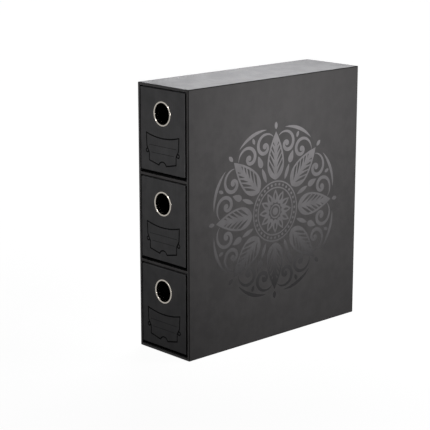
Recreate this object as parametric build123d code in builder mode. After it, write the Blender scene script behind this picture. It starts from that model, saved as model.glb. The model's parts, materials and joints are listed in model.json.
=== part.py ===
"""Trading card drawer box: a wrapped board case with two shelves and three pull-out card drawers.

Millimetres, +Z up. The origin is the middle of the footprint, on the surface the case stands on.
The open front of the case faces -Y, and the decorated cheek faces +X.
"""

from build123d import *
from math import atan2, cos, degrees, hypot, pi, radians, sin
import os

# ---------------------------------------------------------------- driving sizes: case
case_width = 87.0
case_depth = 285.0
case_height = 320.0
paper = 0.25  # covering and lining paper
case_board = 2.7  # rigid board of the case walls
shelf_board = 2.7
base_sheet = 0.3  # sheet glued under the case, over the folds of the covering paper
base_inset = 2.5  # from the case's edges to that sheet's edges
case_edge = 0.8  # rounding of the papered case edges
case_turn_in = 18.0  # covering paper folded round the front rim, into the case

# ---------------------------------------------------------------- driving sizes: drawers
drawer_names = ("lower", "middle", "upper")
tray_board = 2.0
floor_board = 2.0
tray_edge = 0.7  # rounding of the papered tray edges
tray_turn_in = 12.0  # covering paper folded over the rim, into the tray
tray_side_play = 0.8
tray_top_play = 1.7
tray_back_play = 0.3

fascia_board = 2.5
fascia_proud = 0.7  # fascia's face ahead of the case's front rim
fascia_side_gap = 2.1
fascia_bottom_gap = 4.1
fascia_edge = 0.7  # rounding of the papered fascia edges

# ---------------------------------------------------------------- driving sizes: finger ring
ring_drop = 27.5  # from the fascia's top edge to the ring's centre
ring_bore = 12.6  # radius a finger passes through
ring_wall = 0.4
ring_flange = 1.6  # flange width, beyond the barrel
ring_crown = 1.1  # height of the flange's rounded face
ring_play = 0.1  # barrel to the holes in board and paper
washer_width = 2.6
washer_thickness = 0.5
lip_width = 1.3  # barrel end rolled over the washer
lip_thickness = 0.5

# ---------------------------------------------------------------- driving sizes: label frame
label_drop = 52.2  # from the fascia's top edge to the frame's upper corners
label_half_width = 28.3
label_sag = 4.0  # dip of the frame's upper edge
label_shoulder = 15.5  # length of the straight upper sides
label_taper = 0.9  # how far those sides lean in
label_waist = 23.2  # half width below the side curls
label_height = 32.0
label_tail = 3.6  # drop of the lower edge towards the notch
label_notch = 6.4  # half width of the notch
label_arch = 4.2  # rise of the arch over the notch
label_line = 1.6  # pressed line's width
label_depth = 0.12  # pressed line's depth
curl_radius = 2.1
curl_drop = 20.9  # from the upper corners to the curls' centres
curl_offset = 26.7  # from the fascia's middle to the curls' centres
rule_width = 0.7
rule_lengths = (46.8, 39.4)
rule_drops = (13.6, 22.2)  # from the frame's upper corners

# ---------------------------------------------------------------- driving sizes: medallion
medallion_height = 158.0  # centre above the surface the case stands on
medallion_shift = -2.0  # centre along Y
varnish = 0.06  # raised gloss layer
motif_gap = 1.2  # plain ground between neighbouring motifs
hub_radius = 4.6
circle_width = 1.8
petal_count = 12
petal_length = 17.0
petal_width = 9.6
petal_slot_length = 9.0
petal_slot_width = 3.0
bead_count = 32
bead_radius = 1.7
leaf_count = 8
leaf_length = 59.0
leaf_width = 29.0
leaf_rim = 2.0  # solid edge round the slots between the veins
leaf_rim_widening = 1.3  # how much wider that edge is at a leaf's flanks
leaf_solid_tip = 5.0  # solid end beyond the last slots
leaf_rib = 3.6  # solid middle rib
leaf_shoulder = (0.10, 0.76)  # shares of length and width that draw a leaf's full root
leaf_flank = (0.60, 0.52)  # and its long tip
vein_pairs = 5
vein_step = 8.6
vein_first = 6.4  # from the leaf's root to the first slots
vein_width = 3.2
vein_angle = 32.0
stem_length = 20.0
stem_width = 5.4
bud_length = 16.0
bud_width = 8.4
crook_along = 42.0  # from the leaves' roots out to the middle of a scroll
crook_across = 18.7  # from a leaf's middle line to the middle of a scroll
crook_start = (53.0, 4.6)  # a scroll's first point, along and across from the leaf's root
crook_width = 4.8
crook_tail = 0.12  # width of a scroll's first point, as a share of crook_width
crook_turns = 1.5
crook_pull = 2.1  # how fast a scroll draws in
crook_fullness = 0.7  # below 1, a scroll is widest in its first half
eye_radius = 2.6
slip_length = 8.0
slip_width = 4.4
crescent_gap = 4.6  # from the leaves' tips to the crescents
crescent_half_angle = 14.0
crescent_width = 4.2
drop_length = 9.0
drop_width = 5.0

points_per_turn = 10  # points that draw one turn of a scroll

# ---------------------------------------------------------------- worked out
case_wall = case_board + 2 * paper
shelf_wall = shelf_board + 2 * paper
bay_width = case_width - 2 * case_wall
bay_count = len(drawer_names)
bay_height = (
    case_height - base_sheet - 2 * case_wall - (bay_count - 1) * shelf_wall
) / bay_count
front = -case_depth / 2
back = case_depth / 2
bay_back = back - case_wall
cavity_bottom = base_sheet + case_wall
cavity_top = case_height - case_wall
board_low = base_sheet + paper
board_high = case_height - paper

fascia_front = front - fascia_proud
fascia_thickness = fascia_board + paper
tray_front = fascia_front + fascia_thickness
tray_back = bay_back - tray_back_play
tray_width = bay_width - 2 * tray_side_play
tray_height = bay_height - tray_top_play
tray_length = tray_back - tray_front
tray_middle = (tray_front + tray_back) / 2
tray_wall = tray_board + 2 * paper
fascia_width = bay_width - 2 * fascia_side_gap
fascia_height = tray_height - fascia_bottom_gap
barrel_radius = ring_bore + ring_wall
hole_radius = barrel_radius + ring_play


def bay_floor(index):
    """Height of the surface a drawer stands on, counted from the lowest bay."""
    return cavity_bottom + index * (bay_height + shelf_wall)


def save(piece, name):
    """Labels a finished piece and writes its file."""
    piece.part.label = name
    export_step(piece.part, f"parts/{name}.step")


def slab(width, length, height, low, middle=(0, 0)):
    """Upright rectangular block on the plane at height low."""
    with BuildPart() as block:
        with BuildSketch(Plane.XY.offset(low)):
            with Locations(middle):
                Rectangle(width, length)
        extrude(amount=height)
    return block.part


# ================================================================ case
def case_core():
    """All the case's boards as one block, which the covering paper is fitted round."""
    with BuildPart() as core:
        add(slab(case_width - 2 * paper, case_depth - 2 * paper, board_high - board_low, board_low))
        fillet(core.edges(), case_edge - paper)
        depth = bay_back - front
        add(
            slab(
                bay_width + 2 * paper,
                depth,
                cavity_top - cavity_bottom + 2 * paper,
                cavity_bottom - paper,
                (0, front + paper + depth / 2),
            ),
            mode=Mode.SUBTRACT,
        )
        rim = core.faces().sort_by(Axis.Y)[0].inner_wires().edges()
        fillet(rim, case_edge - paper)
    return core.part


def side_board(name, side):
    """Full-height side board; side is -1 for the left one and 1 for the right one."""
    middle = side * (case_width / 2 - paper - case_board / 2)
    with BuildPart() as board:
        add(slab(case_board, case_depth - 2 * paper, board_high - board_low, board_low, (middle, 0)))
        outer = board.faces().sort_by(Axis.X)[-1 if side > 0 else 0].edges()
        rim = board.faces().sort_by(Axis.Y)[0].edges()
        across = board.edges().filter_by(Axis.X)
        fillet(ShapeList(set(outer + rim + across)), case_edge - paper)
    save(board, name)


def level_board(name, low, outer_face):
    """Top or bottom board, held between the side boards; outer_face is -1 below and 0 above."""
    width = bay_width + 2 * paper
    with BuildPart() as board:
        add(slab(width, case_depth - 2 * paper, case_board, low))
        rim = board.faces().sort_by(Axis.Y)[0].edges().filter_by(Axis.X)
        heel = board.faces().sort_by(Axis.Y)[-1].edges().filter_by(Axis.X)
        heel = heel.sort_by(Axis.Z)[outer_face]
        fillet(rim + [heel], case_edge - paper)
    save(board, name)


def back_board():
    """Back board, held between the other four."""
    with BuildPart() as board:
        height = cavity_top - cavity_bottom + 2 * paper
        middle = (0, bay_back + paper + case_board / 2)
        add(slab(bay_width + 2 * paper, case_board, height, cavity_bottom - paper, middle))
    save(board, "case_back_board")


def case_wrap(core):
    """Covering paper: the case's outside, the front rim and the folds into the opening."""
    height = case_height - base_sheet
    with BuildPart() as wrap:
        add(slab(case_width, case_depth, height, base_sheet))
        fillet(wrap.edges(), case_edge)
        opening = cavity_top - cavity_bottom
        middle = (0, front + case_turn_in / 2)
        add(slab(bay_width, case_turn_in, opening, cavity_bottom, middle), mode=Mode.SUBTRACT)
        fillet(wrap.faces().sort_by(Axis.Y)[0].inner_wires().edges(), case_edge)
        add(core, mode=Mode.SUBTRACT)
        depth = bay_back + paper - front - case_turn_in
        middle = (0, front + case_turn_in + depth / 2)
        beyond = slab(bay_width + 2 * paper, depth, opening + 2 * paper, cavity_bottom - paper, middle)
        add(beyond, mode=Mode.SUBTRACT)
    save(wrap, "case_wrap")


def case_lining():
    """Lining paper inside the case, from the folds of the covering paper to the back."""
    depth = bay_back + paper - front - case_turn_in
    middle = (0, front + case_turn_in + depth / 2)
    opening = cavity_top - cavity_bottom
    with BuildPart() as lining:
        add(slab(bay_width + 2 * paper, depth, opening + 2 * paper, cavity_bottom - paper, middle))
        inside = slab(bay_width, depth, opening, cavity_bottom, (0, middle[1] - paper))
        add(inside, mode=Mode.SUBTRACT)
    save(lining, "case_lining")


def base_paper():
    """Sheet the case stands on."""
    with BuildPart() as sheet:
        with BuildSketch():
            Rectangle(case_width - 2 * base_inset, case_depth - 2 * base_inset)
        extrude(amount=base_sheet)
    save(sheet, "case_base_sheet")


def shelf(name, low):
    """Shelf between two bays: a board and the paper folded round its front edge."""
    depth = bay_back - front
    with BuildPart() as board:
        middle = (0, front + paper + (depth - paper) / 2)
        add(slab(bay_width, depth - paper, shelf_board, low + paper, middle))
        nose = board.faces().sort_by(Axis.Y)[0].edges().filter_by(Axis.X)
        fillet(nose, case_edge - paper)
    save(board, f"{name}_shelf_board")

    with BuildPart() as cover:
        add(slab(bay_width, depth, shelf_wall, low, (0, front + depth / 2)))
        nose = cover.faces().sort_by(Axis.Y)[0].edges().filter_by(Axis.X)
        fillet(nose, case_edge)
        add(board.part, mode=Mode.SUBTRACT)
    save(cover, f"{name}_shelf_wrap")


# ================================================================ drawer trays
def ring_height(floor):
    """Height of the finger ring's centre in the drawer that stands at floor."""
    return floor + tray_height - ring_drop


def finger_hole(floor, radius, start, depth):
    """Round block along Y that cuts the finger hole."""
    with BuildPart() as hole:
        with BuildSketch(Plane.XZ.offset(-start)):
            with Locations((0, ring_height(floor))):
                Circle(radius)
        extrude(amount=-depth)
    return hole.part


def tray_core(floor):
    """All boards of one tray as one block, which its covering paper is fitted round."""
    width, length = tray_width - 2 * paper, tray_length - 2 * paper
    with BuildPart() as core:
        add(slab(width, length, tray_height - 2 * paper, floor + paper, (0, tray_middle)))
        fillet(core.edges(), tray_edge - paper)
        inside = slab(
            width - 2 * tray_board,
            length - 2 * tray_board,
            tray_height,
            floor + paper + floor_board,
            (0, tray_middle),
        )
        add(inside, mode=Mode.SUBTRACT)
        fillet(core.faces().sort_by(Axis.Z)[-1].inner_wires().edges(), tray_edge - paper)
    return core.part


def tray_side_board(name, floor, side):
    """Side board of a tray, the full length of it."""
    middle = (side * (tray_width / 2 - paper - tray_board / 2), tray_middle)
    with BuildPart() as board:
        add(slab(tray_board, tray_length - 2 * paper, tray_height - 2 * paper, floor + paper, middle))
        outer = board.faces().sort_by(Axis.X)[-1 if side > 0 else 0].edges()
        rim = board.faces().sort_by(Axis.Z)[-1].edges()
        across = board.edges().filter_by(Axis.X)
        fillet(ShapeList(set(outer + rim + across)), tray_edge - paper)
    save(board, name)


def tray_end_board(name, floor, end, with_hole):
    """Front or back board of a tray, held between the side boards; end is -1 at the front."""
    face = tray_front if end < 0 else tray_back
    middle = (0, face - end * (paper + tray_board / 2))
    with BuildPart() as board:
        width = tray_width - 2 * paper - 2 * tray_board
        add(slab(width, tray_board, tray_height - 2 * paper, floor + paper, middle))
        edges = board.edges().filter_by(Axis.X)
        rim = edges.group_by(Axis.Z)[-1]
        foot = edges.group_by(Axis.Z)[0].sort_by(Axis.Y)[0 if end < 0 else -1]
        fillet(rim + [foot], tray_edge - paper)
        if with_hole:
            add(finger_hole(floor, hole_radius, tray_front, tray_wall), mode=Mode.SUBTRACT)
    save(board, name)


def tray_floor_board(name, floor):
    """Floor board of a tray, held between its four walls."""
    width = tray_width - 2 * paper - 2 * tray_board
    length = tray_length - 2 * paper - 2 * tray_board
    with BuildPart() as board:
        add(slab(width, length, floor_board, floor + paper, (0, tray_middle)))
    save(board, name)


def tray_wrap(name, floor, core):
    """Covering paper of a tray: outside, rim and the folds into it."""
    inner_width = tray_width - 2 * tray_wall
    inner_length = tray_length - 2 * tray_wall
    with BuildPart() as wrap:
        add(slab(tray_width, tray_length, tray_height, floor, (0, tray_middle)))
        fillet(wrap.edges(), tray_edge)
        fold = floor + tray_height - tray_turn_in
        add(slab(inner_width, inner_length, tray_turn_in, fold, (0, tray_middle)), mode=Mode.SUBTRACT)
        fillet(wrap.faces().sort_by(Axis.Z)[-1].inner_wires().edges(), tray_edge)
        add(core, mode=Mode.SUBTRACT)
        floor_top = floor + paper + floor_board
        below = slab(
            inner_width + 2 * paper,
            inner_length + 2 * paper,
            fold - floor_top,
            floor_top,
            (0, tray_middle),
        )
        add(below, mode=Mode.SUBTRACT)
        add(finger_hole(floor, hole_radius, tray_front, tray_wall), mode=Mode.SUBTRACT)
    save(wrap, name)


def tray_lining(name, floor):
    """Lining paper of a tray: its floor, and its walls up to the folds of the covering paper."""
    low = floor + paper + floor_board
    height = floor + tray_height - tray_turn_in - low
    inner_width = tray_width - 2 * tray_wall
    inner_length = tray_length - 2 * tray_wall
    with BuildPart() as lining:
        add(slab(inner_width + 2 * paper, inner_length + 2 * paper, height, low, (0, tray_middle)))
        add(slab(inner_width, inner_length, height, low + paper, (0, tray_middle)), mode=Mode.SUBTRACT)
        add(finger_hole(floor, hole_radius, tray_front, 2 * tray_wall), mode=Mode.SUBTRACT)
    save(lining, name)


# ================================================================ drawer fascias
def fascia_block(floor, inset, rounding):
    """Fascia as one block, its front and sides drawn in by inset."""
    width, height = fascia_width - 2 * inset, fascia_height - 2 * inset
    middle = floor + fascia_bottom_gap + fascia_height / 2
    with BuildPart() as block:
        with BuildSketch(Plane.XZ.offset(-tray_front)):
            with Locations((0, middle)):
                Rectangle(width, height)
        extrude(amount=fascia_thickness - inset)
        fillet(block.edges().filter_by(Axis.Y), rounding)
        fillet(block.faces().sort_by(Axis.Y)[0].edges(), rounding)
    return block.part


def label_outline():
    """Label frame's middle line, as a face: hollow top, drawn-in sides and notched foot."""
    corner = (label_half_width, 0)
    elbow = (label_half_width - label_taper, -label_shoulder)
    waist = (label_waist, -curl_drop - curl_radius)
    foot = (label_waist, -label_height)
    notch = (label_notch, -label_height - label_tail)
    with BuildSketch() as outline:
        with BuildLine():
            ThreePointArc((-label_half_width, 0), (0, -label_sag), corner)
            side = Polyline(corner, elbow, waist, foot, notch)
            mirror(side, about=Plane.YZ)
            ThreePointArc(notch, (0, notch[1] + label_arch), (-label_notch, notch[1]))
        make_face()
    return outline.sketch


def label_lines():
    """Pressed lines of the label: frame, side curls and two writing rules."""
    outline = label_outline()
    with BuildSketch() as lines:
        add(offset(outline, amount=label_line / 2, kind=Kind.ARC, mode=Mode.PRIVATE))
        inner = offset(outline, amount=-label_line / 2, kind=Kind.ARC, mode=Mode.PRIVATE)
        add(inner, mode=Mode.SUBTRACT)
        with Locations((-curl_offset, -curl_drop), (curl_offset, -curl_drop)):
            Circle(curl_radius + label_line / 2)
            Circle(curl_radius - label_line / 2, mode=Mode.SUBTRACT)
        for length, drop in zip(rule_lengths, rule_drops):
            with Locations((0, -drop)):
                Rectangle(length, rule_width)
    return lines.sketch


def fascia(name, floor, lines):
    """Drawer front: a board, and the paper over its face and edges with the label pressed in."""
    board_block = fascia_block(floor, paper, fascia_edge - paper)
    hole = finger_hole(floor, hole_radius, fascia_front, fascia_thickness)
    with BuildPart() as board:
        add(board_block)
        add(hole, mode=Mode.SUBTRACT)
    save(board, f"{name}_fascia_board")

    with BuildPart() as cover:
        add(fascia_block(floor, 0, fascia_edge))
        add(board_block, mode=Mode.SUBTRACT)
        add(hole, mode=Mode.SUBTRACT)
        label_top = floor + tray_height - label_drop
        with BuildSketch(Plane.XZ.offset(-fascia_front)):
            with Locations((0, label_top)):
                add(lines)
        extrude(amount=-label_depth, mode=Mode.SUBTRACT)
    save(cover, f"{name}_fascia_wrap")


# ================================================================ finger rings
def finger_ring(name, floor):
    """Flanged ring through the drawer front, its barrel rolled over a washer inside."""
    grip = fascia_thickness + tray_wall
    washer_back = grip + washer_thickness
    flange_radius = barrel_radius + ring_flange
    lip_radius = barrel_radius + lip_width
    axis_frame = Plane(
        origin=(0, fascia_front, ring_height(floor)), x_dir=(1, 0, 0), z_dir=(0, 0, 1)
    )
    with BuildPart() as ring:
        with BuildSketch(axis_frame):
            with BuildLine():
                crown = (flange_radius + ring_bore) / 2
                ThreePointArc((flange_radius, 0), (crown, -ring_crown), (ring_bore, 0))
                Line((ring_bore, 0), (ring_bore, washer_back))
                lip_middle = (ring_bore + lip_radius) / 2
                lip_top = washer_back + lip_thickness
                ThreePointArc((ring_bore, washer_back), (lip_middle, lip_top), (lip_radius, washer_back))
                Line((lip_radius, washer_back), (barrel_radius, washer_back))
                Line((barrel_radius, washer_back), (barrel_radius, 0))
                Line((barrel_radius, 0), (flange_radius, 0))
            make_face()
        revolve(axis=Axis(axis_frame.origin, (0, 1, 0)))
    save(ring, f"{name}_finger_ring")

    with BuildPart() as washer:
        with BuildSketch(Plane.XZ.offset(-(fascia_front + grip))):
            with Locations((0, ring_height(floor))):
                Circle(hole_radius + washer_width)
                Circle(hole_radius, mode=Mode.SUBTRACT)
        extrude(amount=-washer_thickness)
    save(washer, f"{name}_ring_washer")


def drawer(name, floor, lines):
    """Every piece of one drawer, standing at height floor."""
    core = tray_core(floor)
    tray_side_board(f"{name}_tray_left_board", floor, -1)
    tray_side_board(f"{name}_tray_right_board", floor, 1)
    tray_end_board(f"{name}_tray_front_board", floor, -1, True)
    tray_end_board(f"{name}_tray_back_board", floor, 1, False)
    tray_floor_board(f"{name}_tray_floor_board", floor)
    tray_wrap(f"{name}_tray_wrap", floor, core)
    tray_lining(f"{name}_tray_lining", floor)
    fascia(f"{name}_drawer", floor, lines)
    finger_ring(f"{name}_drawer", floor)


# ================================================================ medallion
def leaf_outline(length, width):
    """Leaf from the origin along +X, full near its root and drawn out to a sharp tip."""
    shoulder = (leaf_shoulder[0] * length, leaf_shoulder[1] * width)
    flank = (leaf_flank[0] * length, leaf_flank[1] * width)
    with BuildSketch() as leaf:
        with BuildLine():
            edge = Bezier((0, 0), shoulder, flank, (length, 0))
            mirror(edge, about=Plane.XZ)
        make_face()
    return leaf.sketch


def slip(length, width):
    """Slip pointed at both ends, from the origin along +X."""
    with BuildSketch() as shape:
        with BuildLine():
            edge = ThreePointArc((0, 0), (length / 2, width / 2), (length, 0))
            mirror(edge, about=Plane.XZ)
        make_face()
    return shape.sketch


def veined_leaf():
    """Leaf with slots between its veins, from the origin along +X."""
    inside_length = leaf_length - leaf_rim - leaf_solid_tip
    inside = leaf_outline(inside_length, leaf_width - 2 * leaf_rim_widening * leaf_rim)
    slot = slip(leaf_width, vein_width)
    with BuildSketch() as slots:
        for pair in range(vein_pairs):
            for side in (-1, 1):
                root = (vein_first + vein_step * pair, side * leaf_rib / 2, 0)
                with Locations(Location(root, (0, 0, side * vein_angle))):
                    add(slot)
        with Locations((leaf_rim, 0)):
            add(inside, mode=Mode.INTERSECT)
    with BuildSketch() as leaf:
        add(leaf_outline(leaf_length, leaf_width))
        add(slots.sketch, mode=Mode.SUBTRACT)
    return leaf.sketch


def crook(reach):
    """Scroll about the origin: thin where it starts on +X at reach, and wound in to a round eye."""
    steps = round(points_per_turn * crook_turns)
    rims = ([], [])
    for step in range(steps + 1):
        share = step / steps
        radius = eye_radius + (reach - eye_radius) * (1 - share) ** crook_pull
        angle = 2 * pi * crook_turns * share
        swell = crook_tail + (1 - crook_tail) * sin(pi * share**crook_fullness)
        for rim, side in zip(rims, (1, -1)):
            edge = radius + side * swell * crook_width / 2
            rim.append((edge * cos(angle), edge * sin(angle)))
    outer, inner = rims
    with BuildSketch() as scroll:
        with BuildLine():
            Spline(*outer)
            Line(outer[-1], inner[-1])
            Spline(*reversed(inner))
            Line(inner[0], outer[0])
        make_face()
        Circle(eye_radius)
    return scroll.sketch


def crook_pair():
    """Two scrolls that spring from either side of a leaf's tip; the leaf's root is the origin."""
    arm = (crook_start[0] - crook_along, crook_start[1] - crook_across)
    tilt = degrees(atan2(arm[1], arm[0]))
    scroll = crook(hypot(*arm))
    with BuildSketch() as pair:
        with Locations(Location((crook_along, crook_across, 0), (0, 0, tilt))):
            add(scroll)
        mirror(about=Plane.XZ)
    return pair.sketch


def crescent(radius):
    """Crescent about +X, its inner edge on the circle of that radius."""
    half = radians(crescent_half_angle)
    tips = [(radius * cos(half), side * radius * sin(half)) for side in (-1, 1)]
    with BuildSketch() as moon:
        with BuildLine():
            ThreePointArc(tips[0], (radius, 0), tips[1])
            ThreePointArc(tips[0], (radius + crescent_width, 0), tips[1])
        make_face()
    return moon.sketch


def circle_band(radius):
    """Plain ring, its inner edge at radius."""
    with BuildSketch() as band:
        Circle(radius + circle_width)
        Circle(radius, mode=Mode.SUBTRACT)
    return band.sketch


def rosette(petal_root):
    """Ring of slotted petals."""
    slot = slip(petal_slot_length, petal_slot_width)
    with BuildSketch() as petal:
        add(leaf_outline(petal_length, petal_width))
        with Locations(((petal_length - petal_slot_length) / 2, 0)):
            add(slot, mode=Mode.SUBTRACT)
    with BuildSketch() as ring:
        with PolarLocations(petal_root, petal_count):
            add(petal.sketch)
    return ring.sketch


def medallion_pattern():
    """Round ornament, built outward: hub, rosette, beads, veined leaves, scrolls, crescents."""
    hub_circle = hub_radius + 2 * motif_gap
    petal_root = hub_circle + circle_width + motif_gap
    petal_circle = petal_root + petal_length + motif_gap
    bead_middle = petal_circle + circle_width + motif_gap + bead_radius
    bead_circle = bead_middle + bead_radius + motif_gap
    leaf_root = bead_circle + circle_width + motif_gap
    leaf_tip = leaf_root + leaf_length
    bud_root = leaf_root + stem_length + 2 * motif_gap
    crescent_radius = leaf_tip + crescent_gap

    stem = slip(stem_length, stem_width)
    bud = leaf_outline(bud_length, bud_width)
    bead_slip = slip(slip_length, slip_width)
    moon = crescent(crescent_radius)
    with BuildSketch() as between:
        with Locations((leaf_root + motif_gap, 0)):
            add(stem)
        with Locations((bud_root, 0)):
            add(bud)
        with Locations((crescent_radius - motif_gap - slip_length, 0)):
            add(bead_slip)
        add(moon)

    bands = [circle_band(radius) for radius in (hub_circle, petal_circle, bead_circle)]
    petals = rosette(petal_root)
    leaf = veined_leaf()
    scrolls = crook_pair()
    drop = slip(drop_length, drop_width)
    with BuildSketch() as pattern:
        Circle(hub_radius)
        add(bands)
        add(petals)
        with PolarLocations(bead_middle, bead_count):
            Circle(bead_radius)
        with PolarLocations(leaf_root, leaf_count):
            add(leaf)
            add(scrolls)
        with PolarLocations(leaf_tip + 2 * motif_gap, leaf_count):
            add(drop)
        with PolarLocations(0, leaf_count, start_angle=180 / leaf_count):
            add(between.sketch)
    return pattern.sketch


def medallion():
    """Raised gloss ornament on the case's right cheek."""
    face = Plane(
        origin=(case_width / 2, medallion_shift, medallion_height), x_dir=(0, 1, 0), z_dir=(1, 0, 0)
    )
    pattern = medallion_pattern()
    with BuildPart() as relief:
        with BuildSketch(face):
            add(pattern)
        extrude(amount=varnish)
    save(relief, "cheek_medallion")


# ================================================================ assembly
def build():
    os.makedirs("parts", exist_ok=True)
    side_board("case_left_board", -1)
    side_board("case_right_board", 1)
    level_board("case_bottom_board", board_low, 0)
    level_board("case_top_board", board_high - case_board, -1)
    back_board()
    case_wrap(case_core())
    case_lining()
    base_paper()
    for index, name in enumerate(("lower", "upper")):
        shelf(name, bay_floor(index + 1) - shelf_wall)
    lines = label_lines()
    for index, name in enumerate(drawer_names):
        drawer(name, bay_floor(index), lines)
    medallion()


build()
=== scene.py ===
"""Looks, light and camera for the trading card drawer box, in metres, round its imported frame."""

import json
import math

import bpy
from mathutils import Matrix, Vector


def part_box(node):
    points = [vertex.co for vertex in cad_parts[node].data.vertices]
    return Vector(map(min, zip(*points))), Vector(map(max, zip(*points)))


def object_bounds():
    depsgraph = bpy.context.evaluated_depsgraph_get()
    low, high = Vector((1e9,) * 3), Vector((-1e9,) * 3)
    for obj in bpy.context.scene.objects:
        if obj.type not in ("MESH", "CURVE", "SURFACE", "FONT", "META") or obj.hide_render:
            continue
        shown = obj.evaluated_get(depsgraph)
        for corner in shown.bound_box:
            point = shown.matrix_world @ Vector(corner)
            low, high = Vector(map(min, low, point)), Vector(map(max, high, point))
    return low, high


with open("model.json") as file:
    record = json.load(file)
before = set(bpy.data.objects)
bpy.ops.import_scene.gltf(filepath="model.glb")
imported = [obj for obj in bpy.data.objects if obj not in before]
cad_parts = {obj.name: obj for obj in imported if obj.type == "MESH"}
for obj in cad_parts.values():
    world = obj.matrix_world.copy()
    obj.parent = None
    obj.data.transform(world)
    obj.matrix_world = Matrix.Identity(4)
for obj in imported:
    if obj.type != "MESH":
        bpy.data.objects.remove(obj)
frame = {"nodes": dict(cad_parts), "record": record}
cad_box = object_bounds()

# ---------------------------------------------------------------- sizes taken from the frame
case_low, case_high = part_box("case_wrap")
height = cad_box[1].z
fascia_low, fascia_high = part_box("upper_drawer_fascia_wrap")
drawer_step = fascia_low.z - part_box("middle_drawer_fascia_wrap")[0].z
medallion_low, medallion_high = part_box("cheek_medallion")
MM = 0.001

# ---------------------------------------------------------------- camera
SENSOR_WIDTH = 36.0  # millimetres, as the lens is
LENS = 122.65
CAMERA_AZIMUTH = 46.89  # degrees from the front towards the right side
CAMERA_ELEVATION = 13.75
CAMERA_DISTANCE = 5.611  # in heights of the box
AIM_RIGHT = -0.1385  # the aimed point from the box's middle, in heights of the box
AIM_UP = -0.0452

# ---------------------------------------------------------------- colours (linear)
CASE_DARK = (0.0560, 0.0535, 0.0540)
CASE_LIGHT = (0.0680, 0.0650, 0.0655)
# the drawers' paper is the case's, painted lighter to make up for its missing sheen and the weaker
# light on the front
DRAWER_DARK = (0.0840, 0.0830, 0.0850)
DRAWER_LIGHT = (0.0980, 0.0968, 0.0990)
LINING = (0.012, 0.012, 0.012)
LINING_LIFT = 1.2  # its lighter patches against its colour
BOARD_DARK = (0.24, 0.23, 0.21)
BOARD_LIGHT = (0.40, 0.38, 0.35)
# the varnish's colours, low to high, are a painted reflection: dark below, light above
VARNISH_LOW = (0.012, 0.011, 0.012)
VARNISH_MIDDLE = (0.122, 0.117, 0.121)
VARNISH_HIGH = (0.200, 0.191, 0.197)
NICKEL = (0.42, 0.39, 0.35)
NICKEL_HAZE = 0.92  # its duller patches against its colour

# ---------------------------------------------------------------- painted shade, lighter copies and print, against the paper's colour
SHELF_GAIN = 1.45  # the shelves' flat paper, painted lighter to make up for its missing sheen, to match the case's on their front edges
FOLD_PAINTED_SHADE = 0.05  # painted shade along the case's folded edges
MOUTH_PAINTED_SHADE = 0.04  # painted shade, nearly black, round the case's mouth where the paper is turned in, and on a tray's front under the fascia
EDGE_PAINTED_SHADE = 0.20  # painted shade round the edges of the fascias
LINE_SHADE = 0.12  # in the label's pressed lines
RULE_SHADE = 0.45  # in its two writing rules

# ---------------------------------------------------------------- finishes: paper
# streak: how far the fibres shift the colour; sheen: its weight; gloss: the specular level
CASE_FINISH = {"streak": 0.03, "sheen": 0.6, "gloss": 0.08}
SHELF_FINISH = {"streak": 0.03, "sheen": 0.0, "gloss": 0.0}
DRAWER_FINISH = {"streak": 0.05, "sheen": 0.15, "gloss": 0.0}
SHEEN_ROUGHNESS = 0.3
SHEEN_TINT = (0.95, 0.95, 1.0, 1.0)

# ---------------------------------------------------------------- where the shades start and end
FOLD_DARK = 0.8 * MM  # from the case's outer edges: painted shade up to here
FOLD_CLEAR = 1.5 * MM  # and the plain paper from here
RIM_FOLD_LESS = 0.5 * MM  # how much narrower that painted shade is on the case's front rim
RIM_NORMAL = -0.7  # a face whose normal has less Y than this is on the rim
WALL = 3.0 * MM  # a little under the thickness of the case's walls
MOUTH_CLEAR = 0.2 * MM  # behind the rim: the plain paper up to here
MOUTH_DARK = 1.2 * MM  # and the painted shade from here
EDGE_CLEAR = 0.3 * MM  # the same behind a fascia's face
EDGE_DARK = 1.0 * MM
BACK_SLACK = 0.1 * MM  # allowance to either side of a fascia's back
LINE_NORMAL = -0.985  # a pressed line's floor is where a normal has less Y than this
LINE_LEAST = 0.06 * MM  # and lies deeper than this behind the fascia's face
LINE_MOST = 0.5 * MM  # but less deep than this
RULE_ZONE_HALF_WIDTH = 22.9 * MM  # the part of the label that holds the writing rules
RULE_ZONE_LOW = 13.9 * MM  # above the fascia's lower edge
RULE_ZONE_HIGH = 34.9 * MM
VARNISH_LOWER = (0.05, 0.45)  # shares of the medallion's height: low colour to middle, in its painted reflection
VARNISH_UPPER_START = 0.42  # and middle to high from here

# ---------------------------------------------------------------- floor, world and lamps
FLOOR_RADIUS = 12.0
FLOOR_GREY = 0.15  # what the floor scatters of the light that reaches it
FLOOR_GLOW = 0.95  # its own white towards the camera, near the box
FLOOR_GLOW_FAR = 1.0
FLOOR_GLOW_REACH = (0.3, 1.2)  # distances between which it goes from one to the other
AMBIENT = 0.04  # the world's light on the object
BACKDROP = 1.0  # and its white towards the camera

# name: (place, aimed point, width, cone in degrees or 0 for an open lamp, power in watts)
LAMPS = {
    "side": ((1.00, -0.10, 0.31), (0.04, 0.0, 0.25), 0.3, 30, 31.5),
    "side_rear": ((0.60, 0.50, 0.35), (0.0, 0.0, 0.2), 0.4, 0, 2.45),
    "front": ((0.10, -1.00, 0.80), (0.0, -0.14, 0.22), 0.2, 29, 19.0),
    "rear_left": ((-0.35, 0.35, 0.65), (0.0, 0.0, 0.2), 0.4, 0, 2.0),
}


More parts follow.
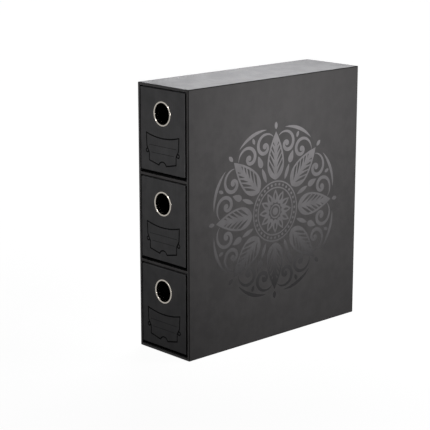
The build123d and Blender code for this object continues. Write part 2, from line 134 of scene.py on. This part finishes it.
# ================================================================ node helpers
class Tree:
    """A material's node tree with one principled shader."""

    def __init__(self, name):
        self.material = bpy.data.materials.new(name)
        self.material.use_nodes = True
        self.nodes = self.material.node_tree.nodes
        self.links = self.material.node_tree.links
        self.shader = self.nodes["Principled BSDF"]
        self.place = self.nodes.new("ShaderNodeTexCoord").outputs["Object"]

    def set(self, **values):
        """Sets the shader's own sockets; a name's underscores stand for spaces."""
        for name, value in values.items():
            self.shader.inputs[name.replace("_", " ")].default_value = value

    def link(self, output, name):
        """Links a socket to one of the shader's."""
        self.links.new(output, self.shader.inputs[name])

    def node(self, kind, **settings):
        made = self.nodes.new(kind)
        for name, value in settings.items():
            setattr(made, name, value)
        return made

    def feed(self, socket, value):
        """Sets a socket to a number, or links another socket to it."""
        if isinstance(value, (int, float)):
            socket.default_value = value
        else:
            self.links.new(value, socket)

    def math(self, operation, *values):
        made = self.node("ShaderNodeMath", operation=operation)
        for socket, value in zip(made.inputs, values):
            self.feed(socket, value)
        return made.outputs[0]

    def product(self, first, *others):
        """All the values multiplied, such as conditions that have to hold together."""
        for other in others:
            first = self.math("MULTIPLY", first, other)
        return first

    def between(self, value, low, high):
        """1 where value is above low and below high, else 0."""
        above = self.math("GREATER_THAN", value, low)
        return self.product(above, self.math("LESS_THAN", value, high))

    def spread(self, value, low, high, to_low=0.0, to_high=1.0):
        """Maps value from low..high to to_low..to_high, smoothly and clamped."""
        made = self.node("ShaderNodeMapRange", interpolation_type="SMOOTHSTEP")
        names = ("Value", "From Min", "From Max", "To Min", "To Max")
        for name, number in zip(names, (value, low, high, to_low, to_high)):
            self.feed(made.inputs[name], number)
        return made.outputs["Result"]

    def axis(self, vector, name):
        made = self.node("ShaderNodeSeparateXYZ")
        self.links.new(vector, made.inputs[0])
        return made.outputs[name]

    def facing(self):
        """The Y of the face's own normal, -1 where it looks forward."""
        geometry = self.node("ShaderNodeNewGeometry")
        return self.axis(geometry.outputs["True Normal"], "Y")

    def stretched(self, scale):
        """The place on the object, multiplied by a scale along each axis."""
        made = self.node("ShaderNodeVectorMath", operation="MULTIPLY")
        self.links.new(self.place, made.inputs[0])
        made.inputs[1].default_value = scale
        return made.outputs[0]

    def noise(self, scale, detail=2.0, roughness=0.5, vector=None):
        made = self.node("ShaderNodeTexNoise")
        made.inputs["Scale"].default_value = scale
        made.inputs["Detail"].default_value = detail
        made.inputs["Roughness"].default_value = roughness
        self.links.new(vector or self.place, made.inputs["Vector"])
        return made.outputs["Fac"]

    def blend(self, share, first, second):
        """Colour between first and second; each is a colour or a socket."""
        made = self.node("ShaderNodeMix", data_type="RGBA")
        self.links.new(share, made.inputs["Factor"])
        for name, value in (("A", first), ("B", second)):
            socket = next(s for s in made.inputs if s.name == name and s.type == "RGBA")
            if isinstance(value, tuple):
                socket.default_value = (*value, 1.0)
            else:
                self.links.new(value, socket)
        return next(s for s in made.outputs if s.type == "RGBA")

    def shade(self, colour, factor):
        """Colour multiplied by a factor."""
        made = self.node("ShaderNodeVectorMath", operation="SCALE")
        self.links.new(colour, made.inputs[0])
        self.links.new(factor, made.inputs["Scale"])
        return made.outputs[0]

    def bump(self, height_socket, distance, strength, below=None):
        """A normal bumped by a height, on top of the one below."""
        made = self.node("ShaderNodeBump")
        made.inputs["Strength"].default_value = strength
        made.inputs["Distance"].default_value = distance
        self.links.new(height_socket, made.inputs["Height"])
        if below is not None:
            self.links.new(below, made.inputs["Normal"])
        return made.outputs["Normal"]


def scaled(colour, factor):
    return tuple(factor * channel for channel in colour)


# ================================================================ materials
def soft_touch(name, dark, light, streak, sheen, gloss):
    """Soft-touch covering paper: cloudy, finely grained and streaked along its fibres."""
    tree = Tree(name)
    clouds = tree.spread(tree.noise(55.0, detail=4.0, roughness=0.6), 0.32, 0.68)
    along_fibres = tree.stretched((900.0, 900.0, 22.0))
    fibres = tree.noise(1.0, detail=3.0, roughness=0.6, vector=along_fibres)
    colour = tree.blend(clouds, dark, light)
    colour = tree.shade(colour, tree.spread(fibres, 0.25, 0.75, 1.0 - streak, 1.0 + streak))

    grain = tree.noise(2600.0, detail=3.0, roughness=0.6)
    slow = tree.noise(160.0)
    normal = tree.bump(slow, distance=0.25 * MM, strength=0.10)
    normal = tree.bump(grain, distance=0.04 * MM, strength=0.35, below=normal)
    tree.link(normal, "Normal")
    tree.link(tree.spread(clouds, 0.0, 1.0, to_low=0.40, to_high=0.50), "Roughness")
    tree.set(Specular_IOR_Level=gloss, Sheen_Weight=sheen, Sheen_Roughness=SHEEN_ROUGHNESS)
    tree.set(Sheen_Tint=SHEEN_TINT)
    return tree, colour


def edge_distance(tree):
    """Distance along the case's faces to its nearest outer edge."""
    gaps = []
    for name, low, high in zip("XYZ", case_low, case_high):
        middle = tree.math("SUBTRACT", tree.axis(tree.place, name), (low + high) / 2)
        gaps.append(tree.math("SUBTRACT", (high - low) / 2, tree.math("ABSOLUTE", middle)))
    # the smallest of the three gaps is to the face itself, and the second one is wanted
    nearer = tree.math("MINIMUM", gaps[0], gaps[1])
    farther = tree.math("MAXIMUM", gaps[0], gaps[1])
    return tree.math("MAXIMUM", nearer, tree.math("MINIMUM", farther, gaps[2]))


def case_paper(name, finish, gain=1.0):
    """The case's paper, with painted shade along its folds and a nearly black painted shade where
    it is turned in round the mouth.
    """
    dark, light = scaled(CASE_DARK, gain), scaled(CASE_LIGHT, gain)
    tree, colour = soft_touch(name, dark, light, **finish)
    # painted shade along the case's folded edges, narrower on its front rim
    on_rim = tree.math("LESS_THAN", tree.facing(), RIM_NORMAL)
    narrowed = tree.math("MULTIPLY", on_rim, RIM_FOLD_LESS)
    away = tree.math("ADD", edge_distance(tree), narrowed)
    colour = tree.shade(colour, tree.spread(away, FOLD_DARK, FOLD_CLEAR, to_low=FOLD_PAINTED_SHADE))

    # painted shade, nearly black, inside the case's mouth
    depth = tree.axis(tree.place, "Y")
    turned = tree.product(
        tree.spread(depth, case_low.y + MOUTH_CLEAR, case_low.y + MOUTH_DARK),
        tree.math("LESS_THAN", depth, case_high.y - 2 * WALL),
        tree.between(tree.axis(tree.place, "X"), case_low.x + WALL, case_high.x - WALL),
        tree.between(tree.axis(tree.place, "Z"), case_low.z + WALL, case_high.z - WALL),
    )
    colour = tree.shade(colour, tree.spread(turned, 0.0, 1.0, to_low=1.0, to_high=MOUTH_PAINTED_SHADE))
    tree.link(colour, "Base Color")
    return tree.material


def drawer_paper():
    """The same paper on the drawers, with painted shade at the fascias' edges and behind them, and
    dark in the pressed lines.
    """
    tree, colour = soft_touch("drawer_paper", DRAWER_DARK, DRAWER_LIGHT, **DRAWER_FINISH)
    # painted shade on the fascias' edges, nearly black on a tray's front behind its fascia
    depth = tree.axis(tree.place, "Y")
    edge = tree.product(
        tree.spread(depth, fascia_low.y + EDGE_CLEAR, fascia_low.y + EDGE_DARK),
        tree.math("LESS_THAN", depth, fascia_high.y + BACK_SLACK),
    )
    behind = tree.math("GREATER_THAN", depth, fascia_high.y - BACK_SLACK)
    darkest = tree.spread(behind, 0.0, 1.0, to_low=EDGE_PAINTED_SHADE, to_high=MOUTH_PAINTED_SHADE)
    colour = tree.shade(colour, tree.spread(edge, 0.0, 1.0, to_low=1.0, to_high=darkest))

    line = tree.product(
        tree.between(depth, fascia_low.y + LINE_LEAST, fascia_low.y + LINE_MOST),
        tree.math("LESS_THAN", tree.facing(), LINE_NORMAL),
    )
    across = tree.math("ABSOLUTE", tree.axis(tree.place, "X"))
    level = tree.math("SUBTRACT", tree.axis(tree.place, "Z"), fascia_low.z)
    level = tree.math("FLOORED_MODULO", level, drawer_step)
    rule = tree.product(
        tree.math("LESS_THAN", across, RULE_ZONE_HALF_WIDTH),
        tree.between(level, RULE_ZONE_LOW, RULE_ZONE_HIGH),
    )
    pressed = tree.shade(colour, tree.spread(rule, 0.0, 1.0, LINE_SHADE, RULE_SHADE))
    tree.link(tree.blend(line, colour, pressed), "Base Color")
    return tree.material


def lining_paper():
    """Plain black uncoated paper with a fibrous surface."""
    tree = Tree("lining_paper")
    along_fibres = tree.stretched((700.0, 250.0, 700.0))
    fibres = tree.noise(1.0, detail=4.0, roughness=0.6, vector=along_fibres)
    tint = tree.blend(tree.noise(40.0), LINING, scaled(LINING, LINING_LIFT))
    factor = tree.spread(fibres, 0.2, 0.8, to_low=0.8, to_high=1.25)
    tree.link(tree.shade(tint, factor), "Base Color")
    tree.link(tree.bump(fibres, distance=0.05 * MM, strength=0.4), "Normal")
    tree.set(Roughness=0.85, Specular_IOR_Level=0.2)
    return tree.material


def grey_board():
    """Pressed grey board, mottled with darker fibres."""
    tree = Tree("grey_board")
    flecks = tree.spread(tree.noise(900.0, detail=5.0, roughness=0.7), 0.35, 0.65)
    tree.link(tree.blend(flecks, BOARD_DARK, BOARD_LIGHT), "Base Color")
    tree.link(tree.bump(flecks, distance=0.08 * MM, strength=0.4), "Normal")
    tree.set(Roughness=0.9, Specular_IOR_Level=0.2)
    return tree.material


def gloss_varnish():
    """Raised varnish over a print, with a painted reflection: silver grey at the top to nearly
    black at the foot.
    """
    tree = Tree("gloss_varnish")
    # painted reflection: nearly black at the foot to silver grey at the top
    level = tree.axis(tree.place, "Z")
    foot, span = medallion_low.z, medallion_high.z - medallion_low.z
    start, end = VARNISH_LOWER
    lower = tree.spread(level, foot + start * span, foot + end * span)
    upper = tree.spread(level, foot + VARNISH_UPPER_START * span, medallion_high.z)
    colour = tree.blend(upper, tree.blend(lower, VARNISH_LOW, VARNISH_MIDDLE), VARNISH_HIGH)
    clouds = tree.noise(70.0, detail=3.0, roughness=0.55)
    mottle = tree.spread(clouds, 0.3, 0.7, to_low=0.93, to_high=1.07)
    tree.link(tree.shade(colour, mottle), "Base Color")
    tree.link(tree.bump(tree.noise(420.0), distance=0.05 * MM, strength=0.15), "Normal")
    tree.link(tree.spread(tree.noise(90.0), 0.3, 0.7, to_low=0.16, to_high=0.24), "Roughness")
    tree.set(Specular_IOR_Level=0.18)
    return tree.material


def bright_nickel():
    """Polished nickel plate with fine turned marks."""
    tree = Tree("bright_nickel")
    haze = tree.noise(300.0, detail=3.0, roughness=0.6)
    tree.link(tree.blend(haze, NICKEL, scaled(NICKEL, NICKEL_HAZE)), "Base Color")
    tree.link(tree.spread(haze, 0.3, 0.7, to_low=0.16, to_high=0.26), "Roughness")
    tree.link(tree.bump(tree.noise(1500.0), distance=0.01 * MM, strength=0.2), "Normal")
    tree.set(Metallic=1.0)
    return tree.material


def dress_nodes():
    """Gives every CAD node the material of its slot; the shelves get the flat kind, painted
    lighter.
    """
    materials = {
        "case_paper": case_paper("case_paper", CASE_FINISH),
        "drawer_paper": drawer_paper(),
        "lining_paper": lining_paper(),
        "grey_board": grey_board(),
        "gloss_varnish": gloss_varnish(),
        "bright_nickel": bright_nickel(),
    }
    shelf_paper = case_paper("shelf_paper", SHELF_FINISH, SHELF_GAIN)
    for part in frame["record"]["subparts"]:
        node = frame["nodes"][part["node"]]
        shelf = part["node"].endswith("shelf_wrap")
        for slot in node.material_slots:
            slot.material = shelf_paper if shelf else materials[part["material_slot"]]


# ================================================================ stage
def background_share(tree):
    """1 on rays that come straight from the camera or a mirror-like surface, else 0."""
    path = tree.nodes.new("ShaderNodeLightPath")
    total = path.outputs["Is Camera Ray"]
    for name in ("Is Glossy Ray", "Is Transmission Ray"):
        either = tree.nodes.new("ShaderNodeMath")
        either.operation = "MAXIMUM"
        tree.links.new(total, either.inputs[0])
        tree.links.new(path.outputs[name], either.inputs[1])
        total = either.outputs[0]
    return total


def make_world():
    """White to the camera and in reflections, and a weak even light on everything else."""
    world = bpy.data.worlds.new("studio")
    bpy.context.scene.world = world
    world.use_nodes = True
    tree = world.node_tree
    sky = tree.nodes["Background"]
    sky.inputs["Color"].default_value = (1.0, 1.0, 1.0, 1.0)
    strength = tree.nodes.new("ShaderNodeMapRange")
    strength.inputs["To Min"].default_value = AMBIENT
    strength.inputs["To Max"].default_value = BACKDROP
    tree.links.new(background_share(tree), strength.inputs["Value"])
    tree.links.new(strength.outputs["Result"], sky.inputs["Strength"])


def make_floor():
    """Pale floor: scatters a little light, glows white to the camera, and keeps shadows."""
    bpy.ops.mesh.primitive_circle_add(
        vertices=96, radius=FLOOR_RADIUS, fill_type="NGON", location=(0, 0, 0)
    )
    floor = bpy.context.object
    floor.name = "floor"
    material = bpy.data.materials.new("floor_white")
    material.use_nodes = True
    tree = material.node_tree
    tree.nodes.remove(tree.nodes["Principled BSDF"])
    scatter = tree.nodes.new("ShaderNodeBsdfDiffuse")
    scatter.inputs["Color"].default_value = (FLOOR_GREY, FLOOR_GREY, FLOOR_GREY, 1.0)

    place = tree.nodes.new("ShaderNodeTexCoord")
    radius = tree.nodes.new("ShaderNodeVectorMath")
    radius.operation = "LENGTH"
    tree.links.new(place.outputs["Object"], radius.inputs[0])
    white = tree.nodes.new("ShaderNodeMapRange")
    white.interpolation_type = "SMOOTHSTEP"
    names = ("From Min", "From Max", "To Min", "To Max")
    for name, value in zip(names, (*FLOOR_GLOW_REACH, FLOOR_GLOW, FLOOR_GLOW_FAR)):
        white.inputs[name].default_value = value
    tree.links.new(radius.outputs["Value"], white.inputs["Value"])
    strength = tree.nodes.new("ShaderNodeMath")
    strength.operation = "MULTIPLY"
    tree.links.new(background_share(tree), strength.inputs[0])
    tree.links.new(white.outputs["Result"], strength.inputs[1])
    glow = tree.nodes.new("ShaderNodeEmission")
    tree.links.new(strength.outputs[0], glow.inputs["Strength"])

    both = tree.nodes.new("ShaderNodeAddShader")
    tree.links.new(scatter.outputs[0], both.inputs[0])
    tree.links.new(glow.outputs[0], both.inputs[1])
    tree.links.new(both.outputs[0], tree.nodes["Material Output"].inputs["Surface"])
    floor.data.materials.append(material)


def make_lamps():
    """Spot lamps where a cone keeps the light on one face, and open area lamps elsewhere."""
    for name, (place, aim, width, cone, power) in LAMPS.items():
        data = bpy.data.lights.new(name, "SPOT" if cone else "AREA")
        if cone:
            data.shadow_soft_size = width / 2
            data.spot_size = math.radians(cone)
            data.spot_blend = 1.0
        else:
            data.size = width
        data.energy = power
        lamp = bpy.data.objects.new(name, data)
        bpy.context.collection.objects.link(lamp)
        lamp.location = place
        lamp.rotation_euler = (Vector(aim) - Vector(place)).to_track_quat("-Z", "Y").to_euler()
        lamp.visible_camera = False


def make_camera():
    """The photograph's view, from the right of the front and a little above."""
    azimuth, elevation = math.radians(CAMERA_AZIMUTH), math.radians(CAMERA_ELEVATION)
    level = math.cos(elevation)
    back = Vector((math.sin(azimuth) * level, -math.cos(azimuth) * level, math.sin(elevation)))
    right = Vector((math.cos(azimuth), math.sin(azimuth), 0.0))
    up = back.cross(right)
    target = Vector((0.0, 0.0, height / 2)) + right * AIM_RIGHT * height + up * AIM_UP * height
    data = bpy.data.cameras.new("camera")
    data.lens = LENS
    data.sensor_width = SENSOR_WIDTH
    camera = bpy.data.objects.new("camera", data)
    bpy.context.collection.objects.link(camera)
    turn = Matrix((right, up, back)).transposed().to_4x4()
    camera.matrix_world = Matrix.Translation(target + back * CAMERA_DISTANCE * height) @ turn
    bpy.context.scene.camera = camera


# ================================================================ the scene
make_camera()
dress_nodes()
make_world()
make_floor()
make_lamps()
bpy.context.scene.view_settings.view_transform = "Standard"
